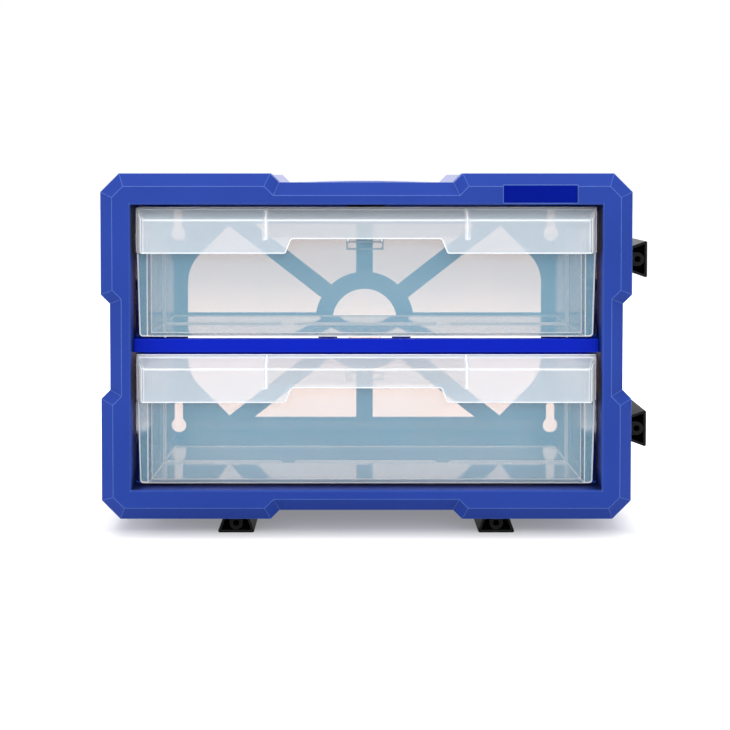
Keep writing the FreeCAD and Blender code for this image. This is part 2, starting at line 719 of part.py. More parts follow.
def make_key(name, side, centre):
    """A double dovetail key: one half in this casing's groove, the other for a neighbour's."""
    body = doc.addObject("PartDesign::Body", name)
    body.Label = name
    if side == "right":
        place(body, HALF_WIDTH, "frame_depth", centre)
    else:
        body.Placement.Rotation = FreeCAD.Rotation(FreeCAD.Vector(0, 1, 0), 90)
        place(body, centre, "frame_depth", f"-{HALF_HEIGHT}")
    half_waist, half_width = "key_waist / 2", "key_width / 2"
    bow = new_sketch(body, "XZ_Plane", "0")
    add_loop(
        bow,
        [
            ("-key_reach", f"-{half_width}"),
            ("0", f"-{half_waist}"),
            ("key_reach", f"-{half_width}"),
            ("key_reach", half_width),
            ("0", half_waist),
            ("-key_reach", half_width),
        ],
    )
    pad(body, bow, "key_length")
    round_edges(
        body,
        "key_round",
        lambda start, end: near(abs(start.x), "key_reach")
        and near(abs(end.x), "key_reach")
        and abs(start.y - end.y) > 1,
    )
    hollow = new_sketch(body, "XZ_Plane", "0")
    for sign in ("", "-"):
        corners = []
        for reach, flank in (("key_web / 2", "-"), ("key_reach - key_wall", "-"),
                             ("key_reach - key_wall", ""), ("key_web / 2", "")):
            half = f"(key_waist / 2 + {KEY_FLARE} * ({reach}) - key_wall)"
            corners.append((f"{sign}({reach})", f"{flank}{half}"))
        add_loop(hollow, corners)
    pocket(body, hollow, "key_length")
    boss = new_sketch(body, "XZ_Plane", "0")
    for sign in ("", "-"):
        add_disc(boss, f"{sign}key_reach / 2", "0", "boss_radius")
    pad(body, boss, "key_length")
    web = new_sketch(body, "XZ_Plane", "0")
    add_rectangle(web, "-key_reach / 2", "key_reach / 2", "-boss_radius", "boss_radius")
    pad(body, web, "key_length")
    holes = new_sketch(body, "XZ_Plane", "0")
    for sign in ("", "-"):
        add_disc(holes, f"{sign}key_reach / 2", "0", "boss_hole_radius")
    pocket(body, holes, "key_length")
    return body


def make_tray(name, up):
    """The see-through drawer: front plate, box, divider ribs and the tongue that stops it."""
    body = new_body(name, up=up)
    foot_x = f"({PLATE_X} - plate_taper)"
    plate = new_sketch(body, "XZ_Plane", "plate_recess")
    add_loop(
        plate,
        [
            (f"-{foot_x}", f"-{PLATE_TOP}"),
            (foot_x, f"-{PLATE_TOP}"),
            (PLATE_X, PLATE_TOP),
            (f"-{PLATE_X}", PLATE_TOP),
        ],
    )
    pad(body, plate, "plate_thickness")
    round_edges(
        body,
        "plate_round",
        lambda start, end: near(start.z, f"-{PLATE_TOP}")
        and near(end.z, f"-{PLATE_TOP}")
        and abs(start.y - end.y) > 1,
    )
    plate_back = "plate_recess + plate_thickness"
    rim = f"({PLATE_TOP} - tray_drop)"
    box = new_sketch(body, "XY_Plane", f"-{PLATE_TOP}")
    add_tray_plan(box, "0", "plate_recess + plate_thickness / 2")
    pad(body, box, f"{rim} + {PLATE_TOP}")
    round_edges(
        body,
        "tray_round",
        lambda start, end: near(start.y, "tray_back")
        and near(end.y, "tray_back")
        and near(start.x, str(end.x)),
    )
    inside = new_sketch(body, "XY_Plane", f"tray_wall - {PLATE_TOP}")
    add_tray_plan(inside, "tray_wall", plate_back)
    pocket(body, inside, f"{rim} + {PLATE_TOP}")
    round_edges(
        body,
        "tray_round - tray_wall",
        lambda start, end: near(start.y, "tray_back - tray_wall")
        and near(end.y, "tray_back - tray_wall")
        and near(start.x, str(end.x)),
    )
    add_divider_ribs(body, plate_back, rim)
    add_tongue(body, rim)
    return body


def add_tray_plan(sketch, inset, front):
    """The box seen from above, drawn in by the inset, from the front to its back wall."""
    front_x = f"({TRAY_X} - {inset})"
    back_x = f"({TRAY_X} - tray_draft - {inset})"
    back = f"tray_back - {inset}"
    add_loop(sketch, [(f"-{front_x}", front), (front_x, front), (back_x, back), (f"-{back_x}", back)])


def add_divider_ribs(body, plate_back, rim):
    """Ribs at mid depth that hold a divider: upright pairs on the sides, one line on the floor."""
    middle = f"({plate_back} + tray_back - tray_wall) / 2"
    root_x = f"({TRAY_X} - tray_wall / 2 - tray_draft / 2)"
    tip_x = f"({TRAY_X} - tray_wall - tray_draft / 2 - rib_rise)"
    upright = new_sketch(body, "XY_Plane", f"tray_wall / 2 - {PLATE_TOP}")
    for sign in ("", "-"):
        for side in ("+", "-"):
            inner = f"{middle} {side} slot_width / 2"
            outer = f"{middle} {side} (slot_width / 2 + rib_width)"
            add_rectangle(upright, f"{sign}{tip_x}", f"{sign}{root_x}", inner, outer)
    pad(body, upright, f"{rim} + {PLATE_TOP} - rib_top - tray_wall / 2")
    floor = new_sketch(body, "XY_Plane", f"tray_wall / 2 - {PLATE_TOP}")
    low = f"{middle} - rib_width / 2"
    high = f"{middle} + rib_width / 2"
    inner_end = "rib_gap_centre - rib_gap / 2"
    outer_end = "rib_gap_centre + rib_gap / 2"
    add_rectangle(floor, f"-({inner_end})", inner_end, low, high)
    add_rectangle(floor, outer_end, root_x, low, high)
    add_rectangle(floor, f"-{root_x}", f"-({outer_end})", low, high)
    pad(body, floor, "tray_wall / 2 + rib_width")


def add_tongue(body, rim):
    """A springy tongue in the back wall whose tip meets the drawer stop."""
    wall_front = "tray_back - tray_wall"
    root = f"{PLATE_TOP} - tongue_root"
    tip = new_sketch(body, "XZ_Plane", wall_front)
    top = f"{PLATE_TOP} - tongue_gap"
    add_rectangle(tip, "-tongue_width / 2", "tongue_width / 2", f"{rim} - tray_wall", top)
    pad(body, tip, "tray_wall")
    slits = new_sketch(body, "XZ_Plane", wall_front)
    for sign in ("", "-"):
        inner = f"{sign}(tongue_width / 2)"
        outer = f"{sign}(tongue_width / 2 + tongue_slit)"
        add_rectangle(slits, inner, outer, root, f"{rim} + 1")
    pocket(body, slits, "tray_wall")
    block = new_sketch(body, "XZ_Plane", "tray_back - tray_wall / 2")
    half = "(tongue_width / 2 + tongue_slit)"
    add_rectangle(block, f"-{half}", half, f"{root} - tongue_block", root)
    pad(body, block, "tray_wall / 2 + tongue_step")


def make_pull(name, up):
    """The frosted hood on the drawer's front plate, open at its back and below."""
    body = new_body(name, up=up)
    foot = f"({PLATE_TOP} - hood_height)"
    front_x = f"({PLATE_X} - hood_draw_in)"
    front_top = f"({PLATE_TOP} - hood_drop)"
    back = new_sketch(body, "XZ_Plane", "plate_recess")
    add_rectangle(back, f"-{PLATE_X}", PLATE_X, foot, PLATE_TOP)
    front = new_sketch(body, "XZ_Plane", PULL_FRONT)
    add_rectangle(front, f"-{front_x}", front_x, foot, front_top)
    loft(body, "AdditiveLoft", back, front)
    round_edges(
        body,
        "hood_round",
        lambda start, end: max(start.z, end.z) > number(foot) + 1
        and min(start.y, end.y) < number("plate_recess") - 1,
    )
    slope_wall = "hood_wall * 1.2"
    inner_back = new_sketch(body, "XZ_Plane", "plate_recess")
    back_x = f"({PLATE_X} - {slope_wall})"
    add_rectangle(inner_back, f"-{back_x}", back_x, f"{foot} - 1", f"{PLATE_TOP} - {slope_wall}")
    inner_front = new_sketch(body, "XZ_Plane", f"{PULL_FRONT} + hood_wall")
    narrow_x = f"({front_x} - hood_wall / 2)"
    add_rectangle(inner_front, f"-{narrow_x}", narrow_x, f"{foot} - 1", f"{front_top} - hood_wall / 2")
    loft(body, "SubtractiveLoft", inner_back, inner_front)
    add_gussets(body, foot)
    add_finger_notch(body, foot)
    return body


def add_gussets(body, foot):
    """Two upright webs between the hood and the front plate."""
    low = f"{foot} + finger_rise"
    for sign in ("", "-"):
        gusset = new_sketch(body, "YZ_Plane", f"{sign}gusset_centre - gusset_thickness / 2")
        add_loop(
            gusset,
            [
                (f"{PULL_FRONT} + hood_wall / 2", low),
                ("plate_recess", low),
                ("plate_recess", f"{PLATE_TOP} - hood_wall / 2"),
                (f"{PULL_FRONT} + hood_wall", f"{PLATE_TOP} - hood_drop - hood_wall / 2"),
                (f"{PULL_FRONT} + hood_wall / 2", f"{PLATE_TOP} - hood_drop - hood_wall"),
            ],
        )
        pad(body, gusset, "gusset_thickness")


def add_finger_notch(body, foot):
    """The raised middle of the hood's lower edge."""
    notch = new_sketch(body, "XZ_Plane", PULL_FRONT)
    upper_x = "(finger_width / 2)"
    lower_x = "(finger_width / 2 + finger_flare)"
    add_loop(
        notch,
        [
            (f"-{lower_x}", foot),
            (lower_x, foot),
            (upper_x, f"{foot} + finger_rise"),
            (f"-{upper_x}", f"{foot} + finger_rise"),
        ],
    )
    pocket(body, notch, "hood_wall")
    round_edges(
        body,
        "finger_round",
        lambda start, end: max(abs(start.x), abs(end.x)) < number(lower_x) + 0.1
        and max(start.z, end.z) < number(f"{foot} + finger_rise") + 0.1
        and abs(start.y - end.y) > 0.5 * number("hood_wall"),
    )


pieces = [make_front_frame(), make_label_plate()]
pieces += [make_panel(side) for side in ("top", "bottom", "left", "right")]
pieces += [make_back_panel(), make_screws(), make_middle_rail()]
pieces += [make_runner(level, side) for level in ("upper", "lower") for side in ("left", "right")]
pieces.append(make_key("connector_right_upper", "right", SIDE_KEY))
pieces.append(make_key("connector_right_lower", "right", f"-{SIDE_KEY}"))
pieces.append(make_key("connector_bottom_left", "bottom", f"-{BASE_KEY}"))
pieces.append(make_key("connector_bottom_right", "bottom", BASE_KEY))
for level, sign in (("upper", ""), ("lower", "-")):
    pieces.append(make_tray(f"{level}_drawer_tray", f"{sign}{DRAWER_Z}"))
    pieces.append(make_pull(f"{level}_drawer_pull", f"{sign}{DRAWER_Z}"))

doc.recompute()
for thing in doc.Objects:
    if "Invalid" in thing.State or "Error" in thing.State:
        raise ValueError(f"{thing.Name} failed: {thing.State}")
for piece in pieces:
    if piece.Shape.isNull() or not piece.Shape.isValid():
        raise ValueError(f"{piece.Label} has no valid shape")

os.makedirs("parts", exist_ok=True)
for piece in pieces:
    piece.Shape.exportStep(f"parts/{piece.Label}.step")
    box = piece.Shape.BoundBox
    print(
        f"{piece.Label}: {len(piece.Shape.Solids)} solid, {piece.Shape.Volume / 1000:.1f} cm3,"
        f" x {box.XMin:.1f} to {box.XMax:.1f}, y {box.YMin:.1f} to {box.YMax:.1f},"
        f" z {box.ZMin:.1f} to {box.ZMax:.1f}"
    )
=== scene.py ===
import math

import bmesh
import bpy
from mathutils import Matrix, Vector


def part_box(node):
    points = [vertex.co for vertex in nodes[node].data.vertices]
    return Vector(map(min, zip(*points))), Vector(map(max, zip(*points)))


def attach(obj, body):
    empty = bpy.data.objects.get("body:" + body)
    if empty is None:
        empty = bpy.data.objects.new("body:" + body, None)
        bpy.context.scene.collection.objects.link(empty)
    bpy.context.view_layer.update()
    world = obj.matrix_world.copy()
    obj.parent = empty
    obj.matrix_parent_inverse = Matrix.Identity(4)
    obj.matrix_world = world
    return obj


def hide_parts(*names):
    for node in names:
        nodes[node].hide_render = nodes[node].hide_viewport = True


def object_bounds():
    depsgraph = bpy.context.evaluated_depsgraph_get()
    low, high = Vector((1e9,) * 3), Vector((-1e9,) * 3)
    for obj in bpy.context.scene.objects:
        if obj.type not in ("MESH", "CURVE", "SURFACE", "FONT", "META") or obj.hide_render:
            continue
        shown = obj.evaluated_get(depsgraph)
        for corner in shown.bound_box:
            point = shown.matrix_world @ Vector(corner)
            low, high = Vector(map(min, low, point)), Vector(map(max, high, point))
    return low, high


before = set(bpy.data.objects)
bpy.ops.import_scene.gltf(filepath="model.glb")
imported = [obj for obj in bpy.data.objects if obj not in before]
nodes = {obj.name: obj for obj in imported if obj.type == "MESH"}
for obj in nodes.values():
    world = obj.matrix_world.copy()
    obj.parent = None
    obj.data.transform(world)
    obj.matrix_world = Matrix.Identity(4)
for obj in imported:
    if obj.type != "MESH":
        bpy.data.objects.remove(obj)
cad_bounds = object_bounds()

# %% [markdown]
# # A small parts cabinet in blue plastic
#
# The object is a cabinet a third of a metre wide, with two see-through drawers, one above the other,
# in a bevelled blue frame. This lesson dresses its engineering model for a picture: the shapes come
# from the frame file, and the steps below add soft edges, plastic finishes, the pieces that repeat,
# lights, a white studio floor and a camera.

# %% Imports and the places that several steps use

scene = bpy.context.scene
low, high = (Vector(corner) for corner in cad_bounds)
frame_low, frame_high = (Vector(corner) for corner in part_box("front_frame"))
middle_x = (frame_low.x + frame_high.x) / 2
middle_z = (frame_low.z + frame_high.z) / 2
front_y = frame_low.y
print(f"object box {[round(v, 4) for v in (*low, *high)]}, front at y {front_y:.3f}")

# %% [markdown]
# ## Sums on shader sockets
#
# A finish is mostly arithmetic: a grain plus a stain, times a mask. Written as separate Math nodes
# that is long and hard to read, so one small class wraps a socket and lets Python's own signs make
# the nodes. Colours don't go through it, because a Math node would turn them grey.

# %% A socket that can be added and multiplied


class Wire:
    """The output of a node, for use in sums and products of plain values."""

    def __init__(self, finish, socket):
        self.finish = finish
        self.socket = socket

    def math(self, operation, first, second):
        """A Math node that is fed these two values."""
        node = self.finish.tree.nodes.new("ShaderNodeMath")
        node.operation = operation
        for slot, value in zip(node.inputs, (first, second)):
            self.finish.feed(slot, value)
        return Wire(self.finish, node.outputs[0])

    def __add__(self, other):
        return self.math("ADD", self, other)

    def __sub__(self, other):
        return self.math("SUBTRACT", self, other)

    def __rsub__(self, other):
        return self.math("SUBTRACT", other, self)

    def __mul__(self, other):
        return self.math("MULTIPLY", self, other)

    def __pow__(self, other):
        return self.math("POWER", self, other)

    def __abs__(self):
        return self.math("ABSOLUTE", self, 0.0)

    __radd__ = __add__
    __rmul__ = __mul__

    def clipped(self, lowest=0.0, highest=1.0):
        """The value held between two limits."""
        return self.math("MINIMUM", self.math("MAXIMUM", self, lowest), highest)


class Tree:
    """A tree of nodes, with one method that adds any node."""

    prefix = ""

    def feed(self, slot, value):
        """Links a wire, or several, to a socket, or writes a plain value there."""
        if isinstance(value, (list, tuple)) and any(isinstance(part, Wire) for part in value):
            for part in value:
                self.tree.links.new(part.socket, slot)
        elif isinstance(value, Wire):
            self.tree.links.new(value.socket, slot)
        else:
            slot.default_value = value

    def add(self, kind, settings=None, values=None, output=0):
        """Adds a node, sets its settings, fills its sockets and gives one of its outputs."""
        node = self.tree.nodes.new(kind if kind.startswith("Node") else self.prefix + kind)
        for key, value in (settings or {}).items():
            setattr(node, key, value)
        for key, value in (values or {}).items():
            self.feed(node.inputs[key], value)
        return Wire(self, node.outputs[output]) if node.outputs else node


class Finish(Tree):
    """A material, or the world, made of nodes."""

    prefix = "ShaderNode"

    def __init__(self, name, kind="materials"):
        self.material = getattr(bpy.data, kind).new(name)
        self.material.use_nodes = True
        self.tree = self.material.node_tree
        self.tree.nodes.clear()

    def spot(self):
        """The place on the piece, in metres."""
        return self.add("TexCoord", output="Object")

    def noise(self, scale, detail):
        """Noise from 0 to 1, with this many lumps to the metre."""
        values = {"Vector": self.spot(), "Scale": scale, "Detail": detail}
        return self.add("TexNoise", values=values, output="Fac")

    def blend(self, mask, first, second):
        """A colour between two colours."""
        settings = {"data_type": "RGBA", "blend_type": "MIX"}
        return self.add("Mix", settings, {0: mask, 6: first, 7: second}, output=2)

    def rolled(self, radius):
        """The normal as if every edge were rounded with this radius."""
        return self.add("Bevel", {"samples": 6}, {"Radius": radius})

    def edge_line(self, rolled, gain):
        """1 on an edge and 0 away from it: how far the rolled normal leaves the true one."""
        flat = self.add("NewGeometry", output="Normal")
        dot = {"operation": "DOT_PRODUCT"}
        likeness = self.add("VectorMath", dot, {0: rolled, 1: flat}, "Value")
        return ((1.0 - likeness) * gain).clipped()

    def bumped(self, normal, height, depth):
        """A normal with a height on top of it."""
        return self.add("Bump", values={"Height": height, "Distance": depth, "Normal": normal})

    def flatness(self, power):
        """0 where the face is seen straight on, 1 where it is seen edge on."""
        return self.add("LayerWeight", values={"Blend": 0.5}, output="Facing") ** power

    def level(self):
        """1 on level faces, 0 on upright ones."""
        flat = self.add("NewGeometry", output="True Normal")
        up = self.add("SeparateXYZ", values={"Vector": flat}, output="Z")
        return (up * up - 0.5).clipped(0.0, 0.5) * 2.0

    def surface(self, shader, kind="OutputMaterial"):
        """Ends the tree in this shader and gives the finished material or world."""
        self.add(kind, values={"Surface": shader})
        return self.material


# %% [markdown]
# ## Blue moulded plastic
#
# The frame, the casing, the bar between the drawers and the back are one blue plastic with a satin
# face. It could be a single colour, but real mouldings show slow changes where the melt cooled, a
# fine grain from the tool, and edges that catch a thin line of light. So the colour drifts a little
# with a wide noise, a fine noise lifts the surface by hundredths of a millimetre, and a rolled
# normal rounds each edge; the colour is also paled along each edge, a painted highlight. On the
# frame a crevice mask darkens the narrow gaps round the drawers, a painted shade. The frame and the
# bar have blues of their own, tried against the picture, and the connectors are black.

# %% Blue plastic


drift_lumps, fleck_lumps, sheen_lumps, grain_lumps = 14.0, 900.0, 60.0, 2600.0  # to the metre
edge_radius = 0.0007
crevice_shade_colour = (0.0, 0.001, 0.02, 1.0)


def moulded(name, dark, light, edge_highlight_colour, roughness, gloss, grain=0.00002, crevice=0.0):
    """Satin plastic drifting between two near colours, with painted highlights on edges and optional
    painted shade.
    """
    finish = Finish(name)
    drift = finish.noise(drift_lumps, 3.0)
    flecks = finish.noise(fleck_lumps, 1.0)
    shade = ((drift - 0.5) * 1.6 + (flecks - 0.5) * 0.25 + 0.5).clipped()
    rolled = finish.rolled(edge_radius)
    # The colour pales along every edge: a painted highlight.
    line = finish.edge_line(rolled, 26.0) * 0.8
    plain = finish.blend(shade, (*dark, 1.0), (*light, 1.0))
    colour = finish.blend(line, plain, (*edge_highlight_colour, 1.0))
    # Painted shade: ambient occlusion darkens the colour in narrow gaps, such as round the drawers.
    if crevice:
        openness = finish.add("AmbientOcclusion", {"samples": 6}, {"Distance": crevice}, "AO")
        colour = finish.blend(openness ** 2.4, crevice_shade_colour, colour)
    values = {
        "Base Color": colour,
        "Roughness": roughness + (finish.noise(sheen_lumps, 2.0) - 0.5) * 0.12,
        "Normal": finish.bumped(rolled, finish.noise(grain_lumps, 1.0), grain),
        "Specular IOR Level": gloss,
    }
    return finish.surface(finish.add("BsdfPrincipled", values=values))


blue = moulded(
    "blue_plastic",
    dark=(0.003, 0.035, 0.34),
    light=(0.005, 0.041, 0.38),
    edge_highlight_colour=(0.05, 0.12, 0.50),
    roughness=0.18,
    gloss=0.5,
)
frame_blue = moulded(
    "blue_frame_plastic",
    dark=(0.017, 0.045, 0.27),
    light=(0.021, 0.053, 0.31),
    edge_highlight_colour=(0.15, 0.26, 0.62),
    roughness=0.38,
    gloss=0.05,
    crevice=0.012,
)
bar_blue = moulded(
    "blue_bar_plastic",
    dark=(0.0004, 0.011, 0.38),
    light=(0.0008, 0.014, 0.43),
    edge_highlight_colour=(0.01, 0.04, 0.6),
    roughness=0.4,
    gloss=0.06,
)
black = moulded(
    "black_plastic",
    dark=(0.003, 0.003, 0.0035),
    light=(0.005, 0.005, 0.006),
    edge_highlight_colour=(0.03, 0.03, 0.03),
    roughness=0.5,
    gloss=0.1,
)
print("moulded plastics made")

# %% [markdown]
# ## Bare label film
#
# The recess at the top right holds a smooth dark blue plate. It is flatter and smoother than the
# frame, so it gets little grain and a lower roughness.

# %% Label film

label_blue = moulded(
    "label_film",
    dark=(0.0002, 0.006, 0.205),
    light=(0.0006, 0.008, 0.235),
    edge_highlight_colour=(0.03, 0.08, 0.4),
    roughness=0.24,
    gloss=0.03,
    grain=0.000004,
)
print("label film made")

# %% [markdown]
# ## Clear drawer plastic
#
# The drawers are clear but not like glass: the moulding scatters a little light, so what lies behind
# is veiled, and the floor mirrors the back at a flat angle. Refraction is left out, because walls
# this thin hardly move what is seen through them. A see-through part and a veil are mixed instead,
# and a gloss that grows at flat angles lies on top. The strong blue of the boxes' veil is painted
# light that stands in for the lit blue back seen through them, and level faces and faces seen edge
# on get a paler veil, also painted light. The frosted pulls have more veil and a rougher gloss. A
# rounded edge is nearly all a near-white veil, a painted highlight that shows as a bright line.
#
# What the floors mirror lies a little off from where flat floors would show it. So a bump that
# changes evenly with the depth leans the mirror image, one way in the upper drawer and the other way
# in the lower one. Both amounts were found by trying, and aren't a measured shape.

# %% Clear plastic


wave_height, most_veil = 0.00005, 0.96
facing_gloss, most_gloss = 0.02, 0.93
painted_light_veil, white = (0.92, 0.96, 1.0, 1.0), (1.0, 1.0, 1.0, 1.0)


def see_through(name, tint, veil_and_painted_light_colour, veil, roughness, mirror=1.0, lean=0.0):
    """Clear plastic: a tinted view through it, a veil, and a gloss that grows at flat angles."""
    finish = Finish(name)
    level = finish.level()
    depth = finish.add("SeparateXYZ", values={"Vector": finish.spot()}, output="Y")
    wave = finish.noise(20.0, 1.0) * wave_height
    leaning = finish.add("Bump", values={"Height": wave - depth * lean, "Distance": 1.0})
    cloud = finish.noise(22.0, 3.0)
    grazing = finish.flatness(4.0)
    amount = (veil + (cloud - 0.5) * 0.05 + grazing * (0.08 + level * 1.3)).clipped(0.0, most_veil)
    # Level faces and faces seen edge on get a paler veil colour: painted light.
    painted_light_mask = (level + grazing * 1.3).clipped()
    body = {
        "Base Color": finish.blend(painted_light_mask, (*veil_and_painted_light_colour, 1.0), painted_light_veil),
        "Roughness": 0.5,
        "Normal": leaning,
        "Specular IOR Level": 0.2,
    }
    scatter = finish.add("BsdfPrincipled", values=body)
    through = finish.add("BsdfTransparent", values={"Color": (*tint, 1.0)})
    mixed = finish.add("MixShader", values={0: amount, 1: through, 2: scatter})
    gloss_values = {"Color": white, "Roughness": roughness, "Normal": leaning}
    gloss = finish.add("BsdfAnisotropic", values=gloss_values)
    share = (facing_gloss + grazing * (0.25 + level * 1.6) * mirror).clipped(0.0, most_gloss)
    return finish.surface(finish.add("MixShader", values={0: share, 1: mixed, 2: gloss}))


clear = {
    "tint": (1.0, 0.90, 0.84),
    # The strong blue of this veil is painted light: it stands in for the lit blue back seen through
    # the drawers.
    "veil_and_painted_light_colour": (0.31, 0.73, 1.0),
    "veil": 0.205,
    "roughness": 0.04,
}
clear_box = {
    "upper_drawer": see_through("clear_plastic", **clear, lean=-0.03),
    "lower_drawer": see_through("clear_plastic_sagged", **clear, mirror=0.8, lean=0.025),
}
frosted = see_through(
    "frosted_plastic",
    tint=(0.94, 0.93, 0.92),
    veil_and_painted_light_colour=(0.82, 0.91, 1.0),
    veil=0.28,
    roughness=0.25,
    mirror=0.5,
)
# Nearly white and nearly opaque: a painted highlight for rounded edges and chosen faces.
painted_highlight_plastic = see_through(
    "plastic_edge_painted_highlight",
    tint=(1.0, 1.0, 1.0),
    veil_and_painted_light_colour=(0.97, 0.98, 1.0),
    veil=0.93,
    roughness=0.3,
    mirror=0.2,
)
print("clear plastics made")

# %% [markdown]
# ## Zinc-plated screws
#
# The back is closed with small countersunk screws. Bare metal shows mostly what it mirrors, so the
# finish is fully metallic, and a fine noise varies only its roughness.

# %% Screw steel

steel_finish = Finish("screw_steel")
steel_values = {
    "Base Color": (0.56, 0.56, 0.55, 1.0),
    "Metallic": 1.0,
    "Roughness": 0.28 + steel_finish.noise(4000.0, 2.0) * 0.2,
}
steel = steel_finish.surface(steel_finish.add("BsdfPrincipled", values=steel_values))
print("screw steel made")

# %% [markdown]
# ## Which piece has which finish
#
# The engineering pieces whose shape is already right keep their meshes, and only their materials
# change.

# %% Finishes on the pieces

finishes = {"label_plate": label_blue, "middle_rail": bar_blue, "front_frame": frame_blue}
for name, piece in nodes.items():
    finish = finishes.get(name, black if name.startswith("connector") else blue)
    if not piece.material_slots:
        piece.data.materials.append(finish)
    for slot in piece.material_slots:
        slot.material = finish
print(f"{len(nodes)} pieces have a finish")

# %% [markdown]
# ## Drawers and pulls with painted highlights on their edges
#
# Every edge of the clear plastic is a thin bright line, and those lines are most of what the eye
# sees of it. A mask in the finish would be soft and grainy at this size, so the edges get real
# roundings: the engineering mesh is copied, its triangles are merged into flat faces, and a Bevel
# modifier cuts each sharp edge into a narrow strip that carries a painted highlight, a nearly white
# finish. The cut takes a little of the plastic away, about 0.1 % of a box and 1 % of a pull.

# %% Rounded copies


same_corner, on_the_cut = 0.000002, 0.000001
flat_angle, sharp_angle = math.radians(0.5), math.radians(32.0)


def merged_copy(node):
    """The faces of a CAD node, with its triangles merged where they are flat."""
    shape = bmesh.new()
    shape.from_mesh(nodes[node].data)
    bmesh.ops.remove_doubles(shape, verts=shape.verts, dist=same_corner)
    bmesh.ops.dissolve_limit(
        shape, angle_limit=flat_angle, verts=list(shape.verts), edges=list(shape.edges)
    )
    return shape


def plain_mesh(piece):
    """Replaces a piece's modifiers by their result."""
    scene.collection.objects.link(piece)
    graph = bpy.context.evaluated_depsgraph_get()
    result = bpy.data.meshes.new_from_object(piece.evaluated_get(graph))
    piece.modifiers.clear()
    piece.data = result


def rounded_copy(name, node, body, finish, width, cuts=(), bright=None):
    """A piece that stands for a node, with rounded edges and chosen faces in the painted highlight.
    """
    shape = merged_copy(node)
    for place, normal in cuts:
        everything = list(shape.verts) + list(shape.edges) + list(shape.faces)
        bmesh.ops.bisect_plane(
            shape, geom=everything, dist=on_the_cut, plane_co=place, plane_no=normal
        )
    mesh = bpy.data.meshes.new(name)
    shape.to_mesh(mesh)
    shape.free()
    mesh.materials.append(finish)
    # The second slot holds the painted highlight for the rounded strips and the chosen faces.
    mesh.materials.append(painted_highlight_plastic)
    for face in mesh.polygons:
        if bright and bright(face.center, face.normal):
            face.material_index = 1
    piece = bpy.data.objects.new(name, mesh)
    rounding = piece.modifiers.new("rounding", "BEVEL")
    rounding.width = width
    rounding.segments = 2
    rounding.limit_method = "ANGLE"
    rounding.angle_limit = sharp_angle
    rounding.use_clamp_overlap = False
    rounding.material = 1
    plain_mesh(piece)
    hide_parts(node)
    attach(piece, body)
    print(f"{name}: {len(piece.data.polygons)} faces from {len(nodes[node].data.polygons)}")


# %% [markdown]
# A pull gathers light in two more places: in the lines where its two gussets meet the front, and on
# the front of its drawn-in ends. Planes cut the mesh there, and the faces between them take the
# painted highlight before the edges are rounded.

# %% The four drawer pieces

gusset_sides = (0.0599, 0.0609)  # both sides of a gusset's line, from the middle of the cabinet
gusset_line = 0.0604
gusset_half = 0.0004
gusset_foot = 0.0088  # above the foot of the pull
end_front = front_y + 0.0065
box_rounding, pull_rounding = 0.0006, 0.0007


def pale_parts(foot):
    """A test for the faces of a pull, with its foot at this height, that get a painted highlight."""

    def pale(place, normal):
        beside = abs(abs(place.x - middle_x) - gusset_line) < gusset_half
        gusset = beside and place.z > foot + gusset_foot
        end = abs(normal.x) > 0.5 and place.y < end_front
        return normal.y < -0.3 and (gusset or end)

    return pale


for drawer in ("upper_drawer", "lower_drawer"):
    box_name, pull_name = f"{drawer}_clear_box", f"{drawer}_frosted_pull"
    tray, pull = f"{drawer}_tray", f"{drawer}_pull"
    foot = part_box(pull)[0][2]
    rounded_copy(box_name, tray, drawer, clear_box[drawer], box_rounding)
    near, far = gusset_sides
    cuts = [((middle_x + side, 0.0, 0.0), (1.0, 0.0, 0.0)) for side in (-far, -near, near, far)]
    cuts.append(((0.0, 0.0, foot + gusset_foot), (0.0, 0.0, 1.0)))
    cuts.append(((0.0, end_front, 0.0), (0.0, 1.0, 0.0)))
    pale = pale_parts(foot)
    rounded_copy(pull_name, pull, drawer, frosted, pull_rounding, cuts, pale)

# %% [markdown]
# ## Back screws from one rule
#
# Eight equal screws close the back. That is a job for Geometry Nodes: one screw is made from a
# cone, a shank and a cross recess, and the tree puts it on every point of a small cloud of points.
# The points are the middles of the screw heads in the engineering model. The recess is cut with the
# exact solver, because the default one left edges that didn't have exactly two faces.

# %% Middles of the screw heads

head_face = 0.0004  # corners this near the back lie on a screw's outer face
one_head = 0.008  # corners this near each other belong to one screw
heads = []
for corner in nodes["back_panel_screws"].data.vertices:
    if corner.co.y < high.y - head_face:
        continue
    same = [head for head in heads if (head[0] - corner.co).length < one_head]
    if same:
        same[0].append(corner.co.copy())
    else:
        heads.append([corner.co.copy()])
middles = [sum(head, Vector()) / len(head) for head in heads]
for middle, head in zip(middles, heads):
    xs, zs = [corner.x for corner in head], [corner.z for corner in head]
    middle.x, middle.z = (min(xs) + max(xs)) / 2, (min(zs) + max(zs)) / 2
print(f"{len(middles)} screw heads, first at {[round(v, 4) for v in middles[0]]}")

# %% The rule for one screw


